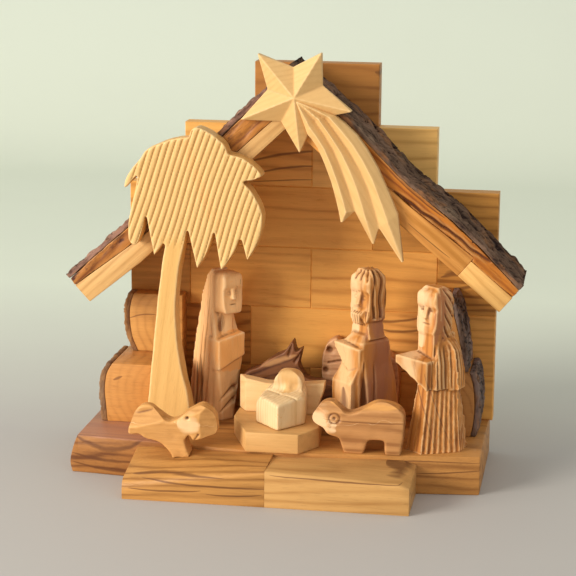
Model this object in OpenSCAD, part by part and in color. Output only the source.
// Nativity stable of olive wood: sawn blocks, planks and logs glued together, with carved
// figures, animals, a palm tree and a shooting star.
// X runs to the right along the back wall, Y runs back through the wall, Z is up.
// The origin lies under the base, in the middle of the wall's length, below its front plane.

/* [Back wall] */
// Length of a full wall block
block_w = 60; // [50:1:70]
// Height of a wall course
course_h = 30; // [27:0.5:34]
// Height of the lowest course, which is sawn lower
first_course_h = 22; // [16:1:30]
// Thickness of the wall
wall_t = 9; // [6:0.5:14]
// Broken edge on the front of each block
arris = 0.4; // [0.2:0.1:0.8]

/* [Base] */
// Height of the base planks
base_h = 18.5; // [14:0.5:24]
// Depth of the base at its ends, measured forward from the back of the wall
base_d = 69.5; // [66:0.5:80]
// How much further forward the base reaches in its middle
base_bow = 11; // [6:0.5:13]
// Length of the dark left-hand base plank
base_left_w = 50; // [40:1:58]
// How far the base runs past the left end of the wall
base_overhang = 12; // [10:0.5:20]
// How far the base stops short of the right end of the wall
base_short = 1.6; // [0:0.2:4]
// How far the natural left end of the base bulges
base_bulge = 3.8; // [1:0.2:6]

/* [Step] */
// Depth of the step at its ends
step_d = 35; // [30:0.5:42]
// Length of the left step plank
step_left_w = 66; // [55:1:75]
// Length of the right step plank
step_right_w = 65.5; // [50:1:75]
// Distance from the left end of the base to the step
step_inset = 30; // [20:1:36]
// Height of the left end of the step along the base
step_left_h = 16.2; // [13.5:0.1:17]
// Height of the left step plank at the seam, along the base
step_left_seam_h = 18.4; // [14:0.1:18.4]
// Height of the right step plank along the base
step_right_h = 16.4; // [13.5:0.1:18]
// Height of the left end of the step at its front edge
step_front_left_h = 9.7; // [8:0.1:14]
// Height of the step's front edge at the seam
step_front_seam_h = 17; // [14:0.5:18]
// Height of the right end of the step at its front edge
step_front_right_h = 14.5; // [11:0.5:17]
// Radius of the step's rounded front edge at the left end
step_round_left = 5; // [2:0.5:8]
// Radius of the step's rounded front edge elsewhere
step_round = 1.6; // [0.8:0.2:3]

/* [Roof] */
// Depth of the roof in front of the wall
roof_d = 36; // [30:1:40]
// How far the underside of the ridge lies below the top of the wall
ridge_drop = 25.5; // [18:0.5:32]
// How far the ridge lies to the left of the wall's middle
ridge_offset = 5.8; // [0:0.2:10]
// Slope of the left roof side in degrees
left_slope = 42.4; // [38:0.2:46]
// Slope of the right roof side in degrees
right_slope = 40.2; // [36:0.2:44]
// Level length of the left roof side, from the ridge to its lower end
left_run = 95.9; // [88:0.5:100]
// Level length of the right roof side
right_run = 99.3; // [92:0.5:104]
// Thickness of the left rafter at its lower end
left_rafter_end_t = 10.5; // [8:0.5:12]
// Thickness of the left rafter at the ridge
left_rafter_ridge_t = 6.8; // [5:0.2:9]
// Thickness of the right end block
end_block_t = 9.4; // [7:0.2:11]
// Length of the right end block
end_block_l = 25.6; // [18:0.5:32]
// Thickness of the left slab at its lower end
left_slab_end_t = 4.2; // [3:0.2:6]
// Thickness of the left slab at the ridge
left_slab_ridge_t = 10.5; // [8:0.5:13]
// Thickness of the right slab at its lower end
right_slab_end_t = 4.6; // [3:0.2:6]
// Thickness of the right slab at the ridge
right_slab_ridge_t = 9.5; // [7:0.5:12]
// Thickness of the bark
bark_t = 3.4; // [2:0.2:4.4]

/* [Logs] */
// Height of the lower left log
log_left_h = 29; // [24:0.5:34]
// Width of the lower left log
log_left_w = 36.3; // [30:0.5:37]
// Height of the upper left log
log_left_top_h = 29; // [24:0.5:31]
// Width of the upper left log
log_left_top_w = 30; // [24:0.5:31]
// Depth of the upper left log, which is set back
log_left_top_d = 10; // [8:0.5:16]
// Height of the lower right log
log_right_h = 31.5; // [26:0.5:34]
// Width of the lower right log
log_right_w = 24.5; // [20:0.5:27]
// Height of the upper right log
log_right_top_h = 34; // [28:0.5:36]
// Width of the upper right log
log_right_top_w = 18.5; // [15:0.5:22]
// Depth of the right logs
log_right_d = 30; // [24:0.5:31]
// Distance from the wall's middle to the logs
log_inner = 62; // [60:0.5:63]

/* [Palm tree] */
// Thickness of the palm board
palm_t = 10; // [7:0.5:12]
// Width of the palm's foot
trunk_foot_w = 22.5; // [18:0.5:26]
// Height of the trunk up to the fronds
trunk_h = 104; // [96:1:112]
// Width of the crown
crown_w = 65.3; // [58:0.5:72]
// Height of the crown with its hanging fronds
crown_h = 66.8; // [58:0.5:72]
// How far the fronds hang below the top of the trunk
frond_drop = 24.8; // [20:0.2:30]

/* [Star] */
// Distance from the star's middle to its points
star_r = 26.2; // [22:0.2:30]
// Thickness of the star at its rim
star_rim_t = 2.4; // [1.6:0.2:4]
// Thickness of the star at its middle
star_t = 7.5; // [5:0.5:10]
// Turn of the star in degrees
star_turn = 5.5; // [0:0.5:12]
// Length of the tail, measured downward
tail_h = 68.4; // [60:0.5:76]
// Width that the tail spreads over
tail_w = 45.8; // [40:0.5:50]
// Thickness of the tail at the ridges of its rays
tail_t = 7; // [5:0.5:9]
// Thickness of the tail at the edges of its rays
tail_edge_t = 4; // [2.5:0.5:5]

/* [Figures] */
// Height of the left figure
left_figure_h = 74; // [68:0.5:80]
// Height of the middle figure
middle_figure_h = 78; // [72:0.5:84]
// Height of the right figure
right_figure_h = 76.2; // [70:0.5:82]

/* [Manger] */
// Width of the manger's foot slab
manger_w = 45; // [40:0.5:46]
// Depth of the manger's foot slab
manger_d = 41; // [38:0.5:42]
// Thickness of the manger's foot slab
manger_base_t = 9.4; // [8:0.2:12]
// Width of the trough
trough_w = 42; // [36:0.5:43]
// Height of the trough above its slab
trough_h = 16.6; // [13:0.2:19]
// Thickness of the trough
trough_t = 7.2; // [5:0.2:9]
// Width of the infant across the shoulders
infant_w = 23.6; // [20:0.2:25]
// Length of the infant's body
infant_l = 29.8; // [26:0.2:30]
// Height of the infant's body
infant_h = 16; // [13:0.2:18]

/* [Animals] */
// Length of the right sheep
sheep_right_l = 43.2; // [40:0.2:43.4]
// Height of the right sheep
sheep_right_h = 24.4; // [23:0.2:28]
// Thickness of the right sheep
sheep_right_t = 10; // [8:0.5:10]
// Length of the left sheep
sheep_left_l = 41.6; // [36:0.5:46]
// Height of the left sheep above its feet
sheep_left_h = 24.4; // [22:0.2:30]
// Thickness of the left sheep
sheep_left_t = 10.5; // [8:0.5:12]
// Length of the donkey
donkey_l = 50; // [44:0.5:54]
// Height of the donkey to its ear tips
donkey_h = 40.7; // [36:0.5:44]
// Thickness of the donkey
donkey_t = 8.5; // [6:0.5:9]
// Length of the ox
ox_l = 38; // [32:0.5:42]
// Height of the ox
ox_h = 40; // [34:0.5:44]
// Thickness of the ox
ox_t = 9.5; // [7:0.5:10]

/* [Hidden] */
$fn = 48;

// Overrun of every cut
over = 1;
// Gap between two carved pieces that stand close together
stand_gap = 0.4;
// Pieces that each smooth stretch of an outline is drawn with
curve_steps = 4;

// The floor of the stable, and the front of the base at its ends and in its middle
floor_z = base_h;
base_front = wall_t - base_d;
base_middle_front = base_front - base_bow;
wall_half = 1.5 * block_w;
base_end_x = wall_half - base_short;
wall_top = base_h + first_course_h + 5 * course_h;

// Seams of each course from the bottom up, as shares of a full block
course_seam_shares = [
  [-1.5, -1, 0, 1, 1.5],
  [-1.5, -0.5, 0.58, 1.5],
  [-1.5, -1, 0, 1.025, 1.5],
  [-1.5, -0.47, 0.5, 1.5],
  [-1.04, 0, 1],
  [-0.47, 0.53]
];

// A point of an outline is [across, up], with a third value of 1 where the line has a corner.
function sharp(p) = len(p) > 2;
function flat(p) = [p[0], p[1]];

// The outline's points, given as shares, in real sizes
function sized(shares, w, h) =
  [for (p = shares) sharp(p) ? [p[0] * w, p[1] * h, p[2]] : [p[0] * w, p[1] * h]];

// One point of a smooth stretch from a to b that leaves along va and arrives along vb
function bend(a, b, va, vb, t) =
  (2 * t ^ 3 - 3 * t ^ 2 + 1) * a + (t ^ 3 - 2 * t ^ 2 + t) * va
  + (3 * t ^ 2 - 2 * t ^ 3) * b + (t ^ 3 - t ^ 2) * vb;

// The stretch from point b to point c, between its neighbours a and d
function stretch(a, b, c, d, n) =
  let (
    chord = flat(c) - flat(b),
    leave = sharp(b) ? chord : (flat(c) - flat(a)) / 2,
    arrive = sharp(c) ? chord : (flat(d) - flat(b)) / 2
  )
  sharp(b) && sharp(c) ? [flat(b)]
  : [for (k = [0 : n - 1]) bend(flat(b), flat(c), leave, arrive, k / n)];

// A closed smooth line through the points of an outline
function flow(p, n = curve_steps) =
  let (count = len(p))
  [for (i = [0 : count - 1])
    each stretch(p[(i + count - 1) % count], p[i], p[(i + 1) % count], p[(i + 2) % count], n)];

// An open smooth line through the points
function line_through(p, n) =
  let (last = len(p) - 1)
  [
    for (i = [0 : last - 1]) each stretch(p[max(i - 1, 0)], p[i], p[i + 1], p[min(i + 2, last)], n),
    flat(p[last])
  ];

// A board seen from the front: its back lies on Y = 0 and its front on Y = -t
module board(t) {
  rotate([90, 0, 0])
    linear_extrude(t)
      children();
}

// A block cut to one outline from the front, one from the side and one from above.
// It is centred on X and Y and stands on Z = 0.
module carved(front_shares, side_shares, plan_shares, w, d, h) {
  intersection() {
    translate([-w / 2, d / 2 + over, 0])
      board(d + 2 * over)
        polygon(flow(sized(front_shares, w, h)));
    translate([-w / 2 - over, -d / 2, 0])
      rotate([90, 0, 90])
        linear_extrude(w + 2 * over)
          polygon(flow(sized(side_shares, d, h)));
    translate([-w / 2, -d / 2, -over])
      linear_extrude(h + 2 * over)
        polygon(flow(sized(plan_shares, w, d)));
  }
}

// Back wall

// Bottom of a course
function course_z(c) = base_h + (c == 0 ? 0 : first_course_h + (c - 1) * course_h);
function course_height(c) = c == 0 ? first_course_h : course_h;

// One block, with its front edges broken. c counts courses from 0, b counts blocks from 0.
module wall_block(c, b) {
  x0 = course_seam_shares[c][b] * block_w;
  w = course_seam_shares[c][b + 1] * block_w - x0;
  h = course_height(c);
  color(b % 2 == 0 ? "peru" : "burlywood")
    translate([x0, 0, course_z(c)])
      intersection() {
        linear_extrude(h)
          polygon([[0, arris], [arris, 0], [w - arris, 0], [w, arris], [w, wall_t], [0, wall_t]]);
        rotate([90, 0, 90])
          linear_extrude(w)
            polygon([[arris, 0], [wall_t, 0], [wall_t, h], [arris, h], [0, h - arris], [0, arris]]);
      }
}

// Base

base_x = -wall_half - base_overhang;
base_seam_x = base_x + base_left_w;
// The natural left end, as shares of the bulge and of the height
base_end_shares = [[0, 1, 1], [-0.55, 0.7], [-1, 0.3], [-0.75, 0, 1]];

// The whole base from above: its front runs forward from both ends to the step's seam
module base_plan() {
  end_x = base_x - 2 * base_bulge;
  polygon([
    [end_x, wall_t], [base_end_x, wall_t], [base_end_x, base_front],
    [step_seam_x, base_middle_front], [base_x, base_front], [end_x, base_front]
  ]);
}

// The front of the base at any place along it
function base_front_at(x) =
  let (half = x < step_seam_x ? step_seam_x - base_x : base_end_x - step_seam_x)
  base_front - base_bow * (1 - abs(x - step_seam_x) / half);

module base_left() {
  end = [for (p = base_end_shares)
    sharp(p) ? [p[0] * base_bulge, p[1] * base_h, p[2]] : [p[0] * base_bulge, p[1] * base_h]];
  color("sienna")
    intersection() {
      translate([base_x, wall_t, 0])
        board(base_d + base_bow)
          polygon(flow(concat(end, [[base_left_w, 0, 1], [base_left_w, base_h, 1]])));
      translate([0, 0, -over])
        linear_extrude(base_h + 2 * over)
          base_plan();
    }
}

module base_right() {
  color("peru")
    linear_extrude(base_h)
      intersection() {
        base_plan();
        translate([base_seam_x, base_middle_front])
          square([base_end_x - base_seam_x, base_d + base_bow]);
      }
}

// Step

step_x = base_x + step_inset;
step_seam_x = step_x + step_left_w;
step_end_x = step_seam_x + step_right_w;
// Thickness of the slices that the planks are drawn between
slice_t = 0.2;
// The right end is rounded over: its length and its drop
step_end_round = 6;
step_end_drop = 2;
// Corners of the rounded front edge
round_steps = 6;

// The step's section, from the base's ends at y = 0 forward, with its front top edge rounded
function step_section(back_h, front_h, r) = concat(
  [[0, 0], [0, back_h]],
  [for (k = [0 : round_steps])
    let (turn = 90 * k / round_steps)
    [-step_d + r * (1 - sin(turn)), front_h - r * (1 - cos(turn))]],
  [[-step_d, 0]]
);

module step_slice(x, back_h, front_h, r) {
  translate([x, base_front, 0])
    rotate([90, 0, 90])
      linear_extrude(slice_t)
        polygon(step_section(back_h, front_h, r));
}

// The planks of the step lie against the front of the base
module before_base() {
  difference() {
    children();
    translate([0, 0, -over])
      linear_extrude(base_h + 2 * over)
        base_plan();
  }
}

module step_left() {
  color("burlywood")
    before_base()
      hull() {
        step_slice(step_x, step_left_h, step_front_left_h, step_round_left);
        step_slice(step_seam_x - slice_t, step_left_seam_h, step_front_seam_h, step_round);
      }
}

module step_right() {
  color("wheat")
    before_base()
      hull() {
        step_slice(step_seam_x, step_right_h, step_front_seam_h, step_round);
        step_slice(step_end_x - step_end_round, step_right_h, step_front_right_h, step_round);
        step_slice(step_end_x - slice_t, step_right_h - step_end_drop,
          step_front_right_h - step_end_drop, step_round);
      }
}

// Logs

log_left_d = roof_d;
// The bark side of each log from the top down, as shares of its width and height
log_left_side_shares = [[0.893, 1, 1], [0.97, 0.82], [1, 0.55], [0.985, 0.28], [0.967, 0, 1]];
log_left_top_side_shares = [[0.927, 1, 1], [0.98, 0.82], [1, 0.59], [0.96, 0.25], [0.863, 0, 1]];
log_right_side_shares = [[0.88, 1, 1], [0.96, 0.8], [1, 0.5], [0.98, 0.2], [0.93, 0, 1]];
log_right_top_side_shares = [[0.6, 1, 1], [0.74, 0.8], [0.88, 0.5], [0.97, 0.2], [1, 0, 1]];

// The wood of a log: flat where it was split, rounded where its bark lies
module log_wood(side_shares, w, h, d) {
  color("goldenrod")
    board(d)
      polygon(flow(concat(
        [[0, 0, 1], [0, h, 1]],
        [for (p = side_shares)
          sharp(p) ? [p[0] * w - bark_t, p[1] * h, 1] : [p[0] * w - bark_t, p[1] * h]]
      )));
}

module log_bark(side_shares, w, h, d) {
  side = line_through([for (p = side_shares) [p[0] * w, p[1] * h]], curve_steps);
  back = line_through([for (p = side_shares) [p[0] * w - bark_t, p[1] * h]], curve_steps);
  color("dimgray")
    board(d)
      polygon(concat(side, [for (i = [len(back) - 1 : -1 : 0]) back[i]]));
}

module at_left_log(z) {
  translate([-log_inner, 0, z])
    mirror([1, 0, 0])
      children();
}

module at_right_log(z) {
  translate([log_inner, 0, z])
    children();
}

log_left_top_z = floor_z + log_left_h;
log_right_top_z = floor_z + log_right_h;

// Roof

ridge_x = -ridge_offset;
ridge_z = wall_top - ridge_drop;
left_l = left_run / cos(left_slope);
right_l = right_run / cos(right_slope);
left_z = ridge_z - left_run * tan(left_slope);
right_z = ridge_z - right_run * tan(right_slope);

// A point of the left roof side: s up the slope from its lower end, t square to the slope
function left_roof(s, t) = [
  ridge_x - left_run + s * cos(left_slope) - t * sin(left_slope),
  left_z + s * sin(left_slope) + t * cos(left_slope)
];
// The same point of the right side, seen in a mirror
function right_roof(s, t) = [
  ridge_x + right_run - s * cos(right_slope) + t * sin(right_slope),
  right_z + s * sin(right_slope) + t * cos(right_slope)
];
// How far up the slope the mitre at the ridge lies, at the height t
function left_mitre(t) = left_l + t * tan(left_slope);
function right_mitre(t) = right_l + t * tan(right_slope);

// Lines along the left side, as [share of the length, height square to the slope]
left_joint = [[0, left_rafter_end_t], [0.3, left_rafter_ridge_t]];
// The slab's top at places up the slope, in shares of the slab's thickness at the ridge
left_top_shares = [[0.32, 0.72], [0.6, 0.9], [0.85, 1]];
left_top = concat(
  [[0, left_rafter_end_t + left_slab_end_t], [0.14, left_rafter_end_t + left_slab_end_t]],
  [for (p = left_top_shares) [p[0], left_rafter_ridge_t + left_slab_ridge_t * p[1]]]
);
// How far the left rafter's underside sags, and where along it
left_sag = 2;
sag_shares = [0.25, 0.6];

// Lines along the right side
// How far the rafter stands above the end block, as a share of the slab's end
rafter_rise_share = 0.45;
right_rafter_t = end_block_t + rafter_rise_share * right_slab_end_t;
right_joint = [[end_block_l / right_l, right_rafter_t], [0.5, end_block_t]];
right_top_shares = [[0.2, 0.78], [0.34, 0.86], [0.55, 0.72], [0.8, 1]];
right_top = concat(
  [[0, end_block_t + right_slab_end_t]],
  [for (p = right_top_shares) [p[0], end_block_t + right_slab_ridge_t * p[1]]]
);

// A line from the lower end to the mitre
function left_line(line) = concat(
  [for (p = line) left_roof(p[0] * left_l, p[1])],
  [let (t = line[len(line) - 1][1]) left_roof(left_mitre(t), t)]
);
function right_line(line) = concat(
  [for (p = line) right_roof(p[0] * right_l, p[1])],
  [let (t = line[len(line) - 1][1]) right_roof(right_mitre(t), t)]
);
function backward(p) = [for (i = [len(p) - 1 : -1 : 0]) p[i]];
// The same line lifted by the bark, which thins at every other place along the slab
bark_thin_share = 0.8;
function lifted(line, by) =
  [for (i = [0 : len(line) - 1])
    [line[i][0], line[i][1] + by * (i % 2 == 0 ? 1 : bark_thin_share)]];

module roof_board(lower, upper) {
  board(roof_d)
    polygon(concat(lower, backward(upper)));
}

module roof_left_rafter() {
  color("burlywood")
    roof_board(
      [left_roof(0, 0), left_roof(sag_shares[0] * left_l, -left_sag),
        left_roof(sag_shares[1] * left_l, -left_sag / 2), left_roof(left_l, 0)],
      left_line(left_joint)
    );
}

module roof_left_slab() {
  color("chocolate")
    roof_board(left_line(left_joint), left_line(left_top));
}

module roof_left_bark() {
  color("dimgray")
    roof_board(left_line(left_top), left_line(lifted(left_top, bark_t)));
}

module roof_right_rafter() {
  color("sandybrown")
    roof_board(
      [right_roof(end_block_l, 0), right_roof(right_l, 0)],
      right_line(right_joint)
    );
}

module roof_right_end_block() {
  color("wheat")
    board(roof_d)
      polygon([
        right_roof(0, 0), right_roof(end_block_l, 0),
        right_roof(end_block_l, end_block_t), right_roof(0, end_block_t)
      ]);
}

module roof_right_slab() {
  color("chocolate")
    roof_board(
      concat([right_roof(0, end_block_t), right_roof(end_block_l, end_block_t)],
        right_line(right_joint)),
      right_line(right_top)
    );
}

module roof_right_bark() {
  color("dimgray")
    roof_board(right_line(right_top), right_line(lifted(right_top, bark_t)));
}

// Palm tree

// The left edge of the trunk's foot, measured from the left end of the wall
palm_inset = 18;
palm_x = -wall_half + palm_inset;
// How far the crown reaches to the left of the foot
crown_reach = 9.4;
trunk_shares = [
  [0, 0, 1], [0.035, 0.13], [0.165, 0.42], [0.295, 0.68], [0.475, 0.935], [0.565, 1.06, 1],
  [0.92, 1.06, 1], [0.89, 0.94], [0.73, 0.77], [0.645, 0.595], [0.68, 0.425], [0.795, 0.27],
  [0.93, 0.14], [1, 0, 1]
];
crown_shares = [
  [0, 0.56], [0.02, 0.65], [0.12, 0.78], [0.17, 0.84], [0.34, 0.91], [0.47, 0.93, 1],
  [0.48, 0.975], [0.53, 1], [0.63, 0.955], [0.715, 0.89], [0.75, 0.82, 1], [0.865, 0.79],
  [0.95, 0.73], [0.99, 0.68], [0.96, 0.655], [0.84, 0.63, 1], [0.9, 0.585], [0.975, 0.47],
  [1, 0.35], [0.96, 0.2], [0.89, 0.075, 1], [0.84, 0.245, 1], [0.775, 0.1], [0.7, 0, 1],
  [0.65, 0.285, 1], [0.6, 0.13], [0.525, 0, 1], [0.45, 0.315, 1], [0.34, 0.37, 1],
  [0.29, 0.2], [0.21, 0.085, 1], [0.15, 0.4, 1], [0.12, 0.25], [0.075, 0.155], [0.02, 0.2],
  [0.03, 0.35], [0.065, 0.51], [0.1, 0.67, 1]
];

module palm_tree() {
  color("khaki")
    translate([palm_x, -roof_d, floor_z])
      board(palm_t) {
        polygon(flow(sized(trunk_shares, trunk_foot_w, trunk_h), 3));
        translate([-crown_reach, trunk_h - frond_drop])
          polygon(flow(sized(crown_shares, crown_w, crown_h), 3));
      }
}

// Star

// The middle of the star, measured from the underside of the ridge
star_shift = 3.4;
star_lift = 13.9;
star_x = ridge_x + star_shift;
star_z = ridge_z + star_lift;
star_points = 5;
star_pitch = 360 / star_points;
// Where the notches between two points lie
notch_share = 0.52;
// Each point was cut by hand: its length as a share of the star's radius
point_shares = [1, 1.05, 0.98, 1.04, 0.92];

function on_star(turn, r) = [star_x + r * cos(turn), star_z + r * sin(turn)];
function star_tip(i) =
  on_star(90 + star_pitch * (i + 0.5) + star_turn, star_r * point_shares[i]);
function star_notch(i) = on_star(90 + star_pitch * (i + 1) + star_turn, star_r * notch_share);
star_rim = [for (i = [0 : star_points - 1]) each [star_tip(i), star_notch(i)]];

function at_depth(p, y) = [p[0], y, p[1]];

module star() {
  count = len(star_rim);
  front = -roof_d - star_rim_t;
  color("lightyellow")
    polyhedron(
      points = concat(
        [for (p = star_rim) at_depth(p, -roof_d)],
        [for (p = star_rim) at_depth(p, front)],
        [[star_x, -roof_d - star_t, star_z], [star_x, -roof_d, star_z]]
      ),
      faces = concat(
        [for (i = [0 : count - 1]) [i, (i + 1) % count, 2 * count + 1]],
        [for (i = [0 : count - 1]) [i, i + count, (i + 1) % count + count, (i + 1) % count]],
        [for (i = [0 : count - 1]) [i + count, 2 * count, (i + 1) % count + count]]
      )
    );
}

// Tail of the star: three rays that part at their points

// Where the tail leaves the star, on the notch between its right and its lowest point
tail_notch = star_notch(2);
function on_edge(a, b, share) = a + share * (b - a);
// Where the four edges of the rays start, as shares of the star's edges
tail_foot_shares = [0.45, 0, 0.28, 0.55];
tail_foot = [
  on_edge(tail_notch, star_tip(2), tail_foot_shares[0]),
  on_edge(tail_notch, star_tip(2), tail_foot_shares[1]),
  on_edge(tail_notch, star_tip(3), tail_foot_shares[2]),
  on_edge(tail_notch, star_tip(3), tail_foot_shares[3])
];
// The far corner that the tail's shares are measured from
tail_shift = 5.8;
tail_drop_share = 0.26;
tail_x = star_x + tail_shift;
tail_low_z = star_z - star_r * tail_drop_share - tail_h;
// The four edges of the three rays on their way down, then the points
tail_edge_shares = [
  [[0.11, 0.76], [0.25, 0.535], [0.33, 0.335]],
  [[0.26, 0.76], [0.405, 0.52], [0.495, 0.34]],
  [[0.44, 0.73], [0.62, 0.5], [0.74, 0.235]],
  [[0.5, 0.86], [0.72, 0.64], [0.93, 0.33]]
];
tail_tip_shares = [[0.36, 0.26], [0.685, 0.12], [0.985, 0]];
// Width of a ray's blunt point
tail_tip_w = 0.8;
tail_steps = 2;

function on_tail(p) = [tail_x + p[0] * tail_w, tail_low_z + p[1] * tail_h];
function ray_edge(ray, side) =
  let (edge = ray + side, tip = on_tail(tail_tip_shares[ray]))
  concat(
    line_through(concat([tail_foot[edge]], [for (p = tail_edge_shares[edge]) on_tail(p)]),
      tail_steps),
    [tip + [(side - 0.5) * tail_tip_w, 0]]
  );

module tail_ray(ray) {
  low = ray_edge(ray, 0);
  high = ray_edge(ray, 1);
  rings = len(low);
  back = -roof_d;
  edge = -roof_d - tail_edge_t;
  ridge = -roof_d - tail_t;
  polyhedron(
    points = [for (k = [0 : rings - 1])
      let (top = k == rings - 1 ? edge : ridge, middle = (low[k] + high[k]) / 2)
      each [
        at_depth(low[k], back), at_depth(low[k], edge), at_depth(middle, top),
        at_depth(high[k], edge), at_depth(high[k], back)
      ]],
    faces = concat(
      [[for (i = [4 : -1 : 0]) i]],
      [for (k = [0 : rings - 2]) for (i = [0 : 4])
        each let (a = 5 * k + i, b = 5 * k + (i + 1) % 5) [[a, b, b + 5], [a, b + 5, a + 5]]],
      [[for (i = [0 : 4]) 5 * (rings - 1) + i]]
    )
  );
}

module star_tail() {
  color("lemonchiffon")
    for (ray = [0 : 2])
      tail_ray(ray);
}

// Figures. Each faces forward in its own frame, stands on Z = 0 and is turned into its place.

// A solid drawn through level sections, lowest first. Each section is [height, outline], and
// every outline has as many corners, listed anticlockwise from above.
module lofted(sections) {
  n = len(sections[0][1]);
  last = len(sections) - 1;
  low = n * (last + 1);
  polyhedron(
    points = concat(
      [for (s = sections) for (p = s[1]) [p[0], p[1], s[0]]],
      [for (k = [0, last]) let (s = sections[k], y = [for (p = s[1]) p[1]])
        [0, (min(y) + max(y)) / 2, s[0]]]
    ),
    faces = concat(
      [for (i = [0 : n - 1]) [i, (i + 1) % n, low]],
      [for (k = [0 : last - 1]) for (i = [0 : n - 1])
        each let (a = n * k + i, b = n * k + (i + 1) % n) [[a, a + n, b + n], [a, b + n, b]]],
      [for (i = [0 : n - 1]) [n * last + (i + 1) % n, n * last + i, low + 1]]
    )
  );
}

// The other half of an outline is its mirror image
function both_sides(half) =
  concat(half, [for (i = [len(half) - 1 : -1 : 0]) [-half[i][0], half[i][1]]]);

// A pleated line from a to b, its valleys cut to the left of the way from a to b
function pleats(a, b, count, depth) =
  let (along = b - a, inward = [-along[1], along[0]] * depth / norm(along))
  [for (k = [0 : 2 * count - 1]) a + along * k / (2 * count) + (k % 2 == 1 ? inward : [0, 0])];

// A pleated garment. Each row of shares is one level: its height; the width and the place of the
// front; how far its corners are cut back; the width at the sides; the width and the place of
// the rear; and the depth of the pleats. The counts are the pleats on the cut corner, the side
// and the rear.
module garment(rows, w, d, h, pleat, corner_count, side_count, rear_count) {
  lofted([for (r = rows)
    let (
      front = [r[1] * w / 2, -r[2] * d],
      corner = [r[4] * w / 2, (r[3] - r[2]) * d],
      rear = [r[5] * w / 2, r[6] * d]
    )
    [r[0] * h, both_sides(concat(
      corner_count == 0 ? [front] : pleats(front, corner, corner_count, r[7] * pleat),
      pleats(corner, rear, side_count, r[7] * pleat),
      pleats(rear, [0, rear[1]], rear_count, r[7] * pleat)
    ))]]);
}

// Arms held in front: cut to one outline from above, [across, forward], and to one from the front
module arms(plan_shares, front_shares, w, d, h) {
  intersection() {
    linear_extrude(h)
      mirror([0, 1, 0])
        polygon(sized(plan_shares, w, d));
    board(d)
      polygon(sized(front_shares, w, h));
  }
}

// Outlines of a head as shares of its width, depth and height
head_front_shares = [
  [0.2, 0], [0.8, 0], [0.95, 0.1], [1, 0.35], [1, 0.8], [0.88, 0.96], [0.5, 1], [0.12, 0.96],
  [0, 0.8], [0, 0.35], [0.05, 0.1]
];
head_side_shares = [
  [0.1, 0.01], [0.45, 0, 1], [0.9, 0, 1], [1, 0.3], [1, 0.78], [0.88, 0.95], [0.5, 1],
  [0.16, 0.95], [0.05, 0.8], [0.06, 0.66], [0.13, 0.6, 1], [0.12, 0.42], [0.09, 0.22], [0.06, 0.1]
];
head_plan_shares = [
  [0.12, 0, 1], [0.88, 0, 1], [1, 0.12, 1], [1, 0.88, 1], [0.88, 1, 1], [0.12, 1, 1],
  [0, 0.88, 1], [0, 0.12, 1]
];
// The nose from the side, and its width as a share of the head's
nose_shares = [[0.3, 0.36], [0.56, 0.36], [0.45, 0.6], [0.3, 0.62]];
nose_w_share = 0.19;

module head(w, d, h) {
  carved(head_front_shares, head_side_shares, head_plan_shares, w, d, h);
  rotate([90, 0, 90])
    linear_extrude(w * nose_w_share, center = true)
      mirror([1, 0, 0])
        polygon(sized(nose_shares, d, h));
}

// Left figure: a long cloak over the head and down the back, arms folded in front
left_figure_x = -41.5;
left_figure_y = -17.6;
left_figure_turn = 46;
left_w = 17;
left_d = 27;
left_head_w = 11.4;
left_head_d = 11.7;
left_head_h = 20.5;
// How far the head is held forward
left_head_forward = 5.9;
left_neck_w = 6.4;
left_neck_d = 7;
left_pleat = 1.1;
left_cloak_shares = [
  [0, 0.88, 0.07, 0.11, 1, 0.88, 0.61, 1], [0.18, 0.86, 0.11, 0.11, 0.98, 0.84, 0.605, 1],
  [0.4, 0.82, 0.19, 0.09, 0.94, 0.7, 0.57, 0.8], [0.55, 0.79, 0.24, 0.07, 0.88, 0.58, 0.52, 0.7],
  [0.72, 0.68, 0.07, 0.06, 0.76, 0.47, 0.44, 0.6], [0.81, 0.66, 0.04, 0.04, 0.73, 0.44, 0.39, 0.5],
  [0.95, 0.62, 0.02, 0.04, 0.68, 0.41, 0.24, 0.4], [1, 0.47, 0, 0.04, 0.53, 0.35, 0.11, 0.2]
];
left_robe_shares = [
  [0, 0.35, 0.24, 0.15, 0.76, 0.7, 0.15, 0], [0.4, 0.82, 0.31, 0.06, 0.88, 0.82, 0.15, 0],
  [0.55, 0.76, 0.3, 0.04, 0.82, 0.76, 0.15, 0]
];
left_arms_plan_shares = [[-0.45, 0.36], [0.45, 0.36], [0.45, 0], [-0.45, 0]];
left_arms_front_shares = [[-0.45, 0.35], [0.45, 0.435], [0.45, 0.588], [-0.45, 0.551]];

module figure_left() {
  color("sandybrown")
    translate([left_figure_x, left_figure_y, floor_z])
      rotate([0, 0, left_figure_turn]) {
        garment(left_cloak_shares, left_w, left_d, left_figure_h, left_pleat, 0, 4, 2);
        garment(left_robe_shares, left_w, left_d, left_figure_h, left_pleat, 0, 1, 1);
        arms(left_arms_plan_shares, left_arms_front_shares, left_w, left_d, left_figure_h);
        translate([-left_neck_w / 2, -left_head_forward, 0])
          cube([left_neck_w, left_neck_d, left_figure_h - left_head_h / 2]);
        translate([0, -left_head_forward, left_figure_h - left_head_h])
          head(left_head_w, left_head_d, left_head_h);
      }
}

// Middle figure: kneels with its hands held forward, hair down to the neck
middle_figure_x = 31.4;
middle_figure_y = -28;
middle_figure_turn = -43;
middle_w = 20;
middle_d = 30;
middle_head_w = 14;
middle_head_d = 12.8;
middle_head_h = 24;
middle_neck_w = 7.4;
middle_hair_groove = 0.9;
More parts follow.
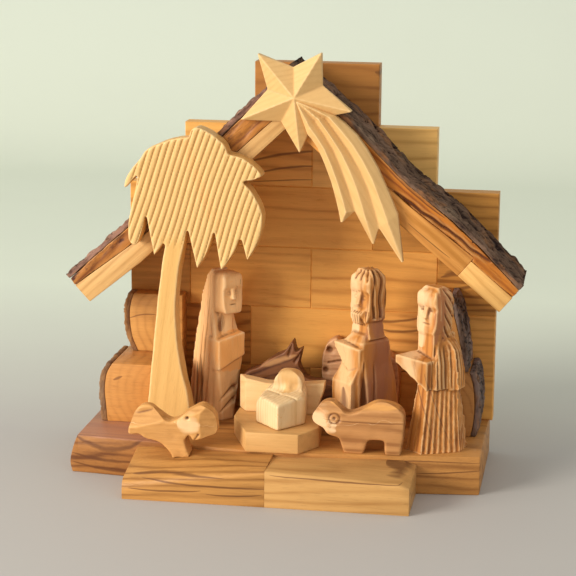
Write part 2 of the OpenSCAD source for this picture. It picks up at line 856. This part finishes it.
// Half of the robe's outline at each height, from its front corner to its rear
middle_robe_shares = [
  [0, [[0.35, -0.52], [0.365, -0.38], [0.46, -0.33], [0.445, -0.215], [0.52, -0.18], [0.5, 0.47],
    [0.35, 0.52]]],
  [0.34, [[0.35, -0.52], [0.355, -0.43], [0.4, -0.385], [0.395, -0.3], [0.445, -0.265],
    [0.43, 0.35], [0.3, 0.4]]],
  [0.435, [[0.315, -0.35], [0.33, -0.335], [0.36, -0.325], [0.365, -0.315], [0.395, -0.3],
    [0.38, 0.3], [0.275, 0.345]]],
  [0.577, [[0.28, -0.3], [0.3, -0.295], [0.32, -0.285], [0.33, -0.28], [0.35, -0.265],
    [0.35, 0.25], [0.25, 0.295]]],
  [0.62, [[0.2, -0.2], [0.215, -0.195], [0.23, -0.185], [0.24, -0.18], [0.25, -0.165],
    [0.25, 0.13], [0.2, 0.165]]]
];
middle_arms_plan_shares = [[-0.375, 0.485], [0.35, 0.35], [0.35, 0], [-0.375, 0]];
middle_arms_front_shares = [
  [-0.375, 0.578], [-0.34, 0.545], [-0.085, 0.435], [0.35, 0.36], [0.35, 0.545]
];
// The hair, as shares of the head
middle_hair_shares = [
  [0.04, 0.9, 0.08, 0.05, 0.98, 0.8, 0.5, 0.6], [0.3, 1, 0.14, 0.05, 1.08, 0.86, 0.56, 1],
  [0.78, 1.02, 0.2, 0.05, 1.1, 0.86, 0.56, 1], [0.97, 0.9, 0.24, 0.05, 0.98, 0.76, 0.48, 1],
  [1.05, 0.6, 0.2, 0.05, 0.7, 0.5, 0.34, 0.8]
];

module figure_middle() {
  color("peru")
    translate([middle_figure_x, middle_figure_y, floor_z])
      rotate([0, 0, middle_figure_turn]) {
        lofted([for (r = middle_robe_shares)
          [r[0] * middle_figure_h, both_sides(sized(r[1], middle_w, middle_d))]]);
        arms(middle_arms_plan_shares, middle_arms_front_shares, middle_w, middle_d,
          middle_figure_h);
        translate([-middle_neck_w / 2, -middle_neck_w / 2, 0])
          cube([middle_neck_w, middle_neck_w, middle_figure_h - middle_head_h / 2]);
        translate([0, 0, middle_figure_h - middle_head_h]) {
          head(middle_head_w, middle_head_d, middle_head_h);
          garment(middle_hair_shares, middle_head_w, middle_head_d, middle_head_h,
            middle_hair_groove, 0, 4, 2);
        }
      }
}

// Right figure: a veil knotted behind, a cape over a full skirt, a gift held forward
right_figure_x = 66.7;
right_figure_y = -47.8;
right_figure_turn = -41;
right_w = 16;
right_d = 25;
right_head_w = 13;
right_head_d = 13;
right_head_h = 21;
// How far the head is held forward
right_head_forward = 2.6;
right_neck_w = 10.6;
right_pleat = 1;
right_skirt_shares = [
  [0, 0.69, 0.58, 0.68, 1.75, 1.05, 0.5, 1], [0.2, 0.57, 0.475, 0.58, 1.54, 0.98, 0.42, 1],
  [0.42, 0.44, 0.36, 0.48, 1.31, 0.92, 0.31, 0.7]
];
right_cape_shares = [
  [0.385, 0.52, 0.24, 0.34, 1.56, 1.22, 0.36, 1], [0.5, 0.5, 0.23, 0.31, 1.5, 1.2, 0.35, 0.9],
  [0.62, 0.46, 0.2, 0.26, 1.3, 1.05, 0.3, 0.7], [0.67, 0.4, 0.18, 0.2, 0.98, 0.8, 0.26, 0.5],
  [0.71, 0.35, 0.16, 0.12, 0.55, 0.45, 0.22, 0.3]
];
right_arms_plan_shares = [[-0.41, 0.83], [0.375, 0.5], [0.375, 0], [-0.41, 0]];
right_arms_front_shares = [[-0.41, 0.56], [0.375, 0.39], [0.375, 0.57], [-0.41, 0.61]];
// The veil, as shares of the head, down to its knot
right_veil_shares = [
  [-0.16, 0.4, -0.1, 0.05, 0.5, 0.44, 0.56, 0.3], [0.14, 0.8, 0.1, 0.05, 0.88, 0.7, 0.58, 1],
  [0.34, 1, 0.22, 0.05, 1.08, 0.86, 0.58, 1], [0.76, 1, 0.26, 0.05, 1.08, 0.86, 0.56, 1],
  [0.96, 0.84, 0.26, 0.05, 0.92, 0.74, 0.5, 0.8], [1.04, 0.6, 0.2, 0.05, 0.68, 0.5, 0.36, 0.4]
];

module figure_right() {
  color("tan")
    translate([right_figure_x, right_figure_y, floor_z])
      rotate([0, 0, right_figure_turn]) {
        garment(right_skirt_shares, right_w, right_d, right_figure_h, right_pleat, 7, 4, 3);
        garment(right_cape_shares, right_w, right_d, right_figure_h, right_pleat, 3, 3, 3);
        arms(right_arms_plan_shares, right_arms_front_shares, right_w, right_d, right_figure_h);
        translate([-right_neck_w / 2, -right_neck_w / 2 - right_head_forward, 0])
          cube([right_neck_w, right_neck_w, right_figure_h - right_head_h / 2]);
        translate([0, -right_head_forward, right_figure_h - right_head_h]) {
          head(right_head_w, right_head_d, right_head_h);
          garment(right_veil_shares, right_head_w, right_head_d, right_head_h, right_pleat, 0, 3, 2);
        }
      }
}

// Manger

manger_x = -29.3;
// The slab stands out a little over the front of the base
manger_overhang = 1;
manger_front = base_middle_front - manger_overhang;
// Its corners from above, as shares from its front left
manger_base_shares = [[0, 1], [0, 0.64], [0.23, 0], [0.775, 0], [0.95, 0.32], [0.9, 1]];
trough_z = floor_z + manger_base_t;
// The trough from the front, sagging in the middle, and from above
trough_front_shares = [
  [0, 0], [0, 1], [0.1, 0.98], [0.33, 0.87], [0.7, 0.86], [1, 0.95], [0.99, 0.7], [0.9, 0]
];
trough_plan_shares = [[0.1, 0], [1, 0], [1, 1], [0, 1]];

module manger_base() {
  color("wheat")
    translate([manger_x, manger_front, floor_z])
      linear_extrude(manger_base_t)
        polygon(sized(manger_base_shares, manger_w, manger_d));
}

module manger_trough() {
  color("moccasin")
    translate([manger_x, manger_front + manger_d - trough_t, trough_z])
      intersection() {
        translate([0, trough_t + over, 0])
          board(trough_t + 2 * over)
            polygon(sized(trough_front_shares, trough_w, trough_h));
        translate([0, 0, -over])
          linear_extrude(trough_h + 2 * over)
            polygon(sized(trough_plan_shares, trough_w, trough_t));
      }
}

// Infant: a wrapped block turned with one edge to the front, its arms two ridges along it, and
// the head against the trough
infant_place_share = 0.53;
infant_x = manger_x + infant_place_share * manger_w;
infant_back = manger_front + manger_d - trough_t - stand_gap;
infant_front_shares = [
  [0, 0, 1], [1, 0, 1], [1, 0.72, 1], [0.87, 0.92], [0.7, 1], [0.52, 0.93, 1], [0.34, 1],
  [0.12, 0.84], [0, 0.6, 1]
];
infant_side_shares = [
  [0, 0, 1], [1, 0, 1], [1, 1, 1], [0.83, 0.97], [0.64, 0.87], [0.3, 0.83], [0.05, 0.76],
  [0, 0.7, 1]
];
infant_plan_shares = [
  [0.535, 0, 1], [1, 0.47, 1], [0.92, 1, 1], [0.18, 1, 1], [0, 0.44, 1]
];
infant_head_w = 14;
infant_head_d = 9.5;
infant_head_h = 15;
// How far the head rises above the body, and how far it lies right of the body's middle
infant_head_rise = 7.6;
infant_head_shift = 2.2;

module infant() {
  color("lightyellow") {
    translate([infant_x, infant_back - infant_l / 2, trough_z])
      carved(infant_front_shares, infant_side_shares, infant_plan_shares,
        infant_w, infant_l, infant_h);
    translate([infant_x + infant_head_shift, infant_back - infant_head_d / 2 - stand_gap,
      trough_z + infant_h + infant_head_rise - infant_head_h])
      head(infant_head_w, infant_head_d, infant_head_h);
  }
}

// Animals. Each was sawn from a board to its outline from the side.

sheep_right_x = 10.6;
// Its front side stands close to the base's front
sheep_right_inset = 5.5;
sheep_right_front = base_front - sheep_right_inset;
// The right sheep looks to the left, its muzzle over the manger's slab
sheep_right_shares = [
  [0, 0.61], [0.03, 0.76], [0.1, 0.91], [0.2, 0.97], [0.3, 0.86], [0.4, 0.76], [0.55, 0.86],
  [0.72, 1], [0.9, 0.93], [0.99, 0.76], [0.99, 0.45], [0.96, 0, 1], [0.79, 0, 1],
  [0.785, 0.27, 1], [0.61, 0.27, 1], [0.56, 0, 1], [0.35, 0, 1], [0.3, 0.28, 1], [0.18, 0.35],
  [0.13, 0.46, 1], [0.04, 0.51]
];

module sheep_right() {
  color("burlywood")
    translate([sheep_right_x, sheep_right_front + sheep_right_t, floor_z])
      board(sheep_right_t)
        polygon(flow(sized(sheep_right_shares, sheep_right_l, sheep_right_h)));
}

// The left sheep looks to the right and stands on the step, before the front of the base
sheep_left_x = -73.4;
sheep_left_z = step_left_h;
// The ends of its foot, as shares of its length
foot_shares = [0.5, 0.7];
sheep_left_back = base_front_at(sheep_left_x + foot_shares[1] * sheep_left_l) - stand_gap;
sheep_left_shares = [
  [0, 0.36, 1], [0.01, 0.52], [0.1, 0.86], [0.22, 0.93], [0.34, 0.8], [0.47, 0.66], [0.58, 0.73],
  [0.68, 0.88], [0.83, 1], [0.96, 0.85], [1, 0.6], [0.98, 0.45, 1], [0.78, 0.33], [0.745, 0.3, 1],
  [0.7, 0.45, 1], [0.64, 0.32, 1], [0.7, 0, 1], [0.5, 0, 1], [0.44, 0.14], [0.34, 0.26],
  [0.2, 0.31], [0.14, 0.4, 1]
];
// How far the feet reach down before they are cut to the step
foot_reach = 4;

module sheep_left() {
  color("sandybrown")
    difference() {
      translate([sheep_left_x, sheep_left_back, sheep_left_z]) {
        board(sheep_left_t)
          polygon(flow(sized(sheep_left_shares, sheep_left_l, sheep_left_h)));
        translate([sheep_left_l * foot_shares[0], 0, -foot_reach])
          board(sheep_left_t)
            square([sheep_left_l * (foot_shares[1] - foot_shares[0]), foot_reach + over]);
      }
      step_left();
    }
}

donkey_x = -30.4;
donkey_back = -13.5;
donkey_shares = [
  [0, 0.5], [0.06, 0.6], [0.18, 0.67], [0.3, 0.78], [0.42, 0.86, 1], [0.5, 1, 1], [0.53, 0.86, 1],
  [0.6, 0.92, 1], [0.56, 0.72, 1], [0.64, 0.55], [0.85, 0.5], [0.97, 0.44], [1, 0.3],
  [0.98, 0, 1], [0.42, 0, 1], [0.36, 0.2], [0.38, 0.4], [0.25, 0.46], [0.1, 0.42]
];

module donkey() {
  color("saddlebrown")
    translate([donkey_x, donkey_back, floor_z])
      board(donkey_t)
        polygon(flow(sized(donkey_shares, donkey_l, donkey_h)));
}

ox_x = 7;
ox_back = -1;
ox_shares = [
  [0, 0.55], [0.01, 0.75], [0.05, 0.9], [0.12, 0.97], [0.2, 1], [0.28, 0.92], [0.4, 0.84],
  [0.7, 0.86], [0.92, 0.8], [1, 0.62], [0.98, 0, 1], [0.78, 0, 1], [0.75, 0.28, 1], [0.45, 0.28, 1],
  [0.42, 0, 1], [0.22, 0, 1], [0.2, 0.35], [0.12, 0.44], [0.03, 0.46]
];

module ox() {
  color("peru")
    translate([ox_x, ox_back, floor_z])
      board(ox_t)
        polygon(flow(sized(ox_shares, ox_l, ox_h)));
}

base_left();
base_right();
step_left();
step_right();
for (c = [0 : len(course_seam_shares) - 1], b = [0 : len(course_seam_shares[c]) - 2])
  wall_block(c, b);
at_left_log(floor_z) log_wood(log_left_side_shares, log_left_w, log_left_h, log_left_d);  // log_left_lower
at_left_log(floor_z) log_bark(log_left_side_shares, log_left_w, log_left_h, log_left_d);  // log_left_lower_bark
at_left_log(log_left_top_z)  // log_left_upper
    log_wood(log_left_top_side_shares, log_left_top_w, log_left_top_h, log_left_top_d);
at_left_log(log_left_top_z)  // log_left_upper_bark
    log_bark(log_left_top_side_shares, log_left_top_w, log_left_top_h, log_left_top_d);
at_right_log(floor_z) log_wood(log_right_side_shares, log_right_w, log_right_h, log_right_d);  // log_right_lower
at_right_log(floor_z) log_bark(log_right_side_shares, log_right_w, log_right_h, log_right_d);  // log_right_lower_bark
at_right_log(log_right_top_z)  // log_right_upper
    log_wood(log_right_top_side_shares, log_right_top_w, log_right_top_h, log_right_d);
at_right_log(log_right_top_z)  // log_right_upper_bark
    log_bark(log_right_top_side_shares, log_right_top_w, log_right_top_h, log_right_d);
roof_left_rafter();
roof_left_slab();
roof_left_bark();
roof_right_rafter();
roof_right_end_block();
roof_right_slab();
roof_right_bark();
star();
star_tail();
palm_tree();
figure_left();
figure_middle();
figure_right();
manger_base();
manger_trough();
infant();
donkey();
ox();
sheep_left();
sheep_right();
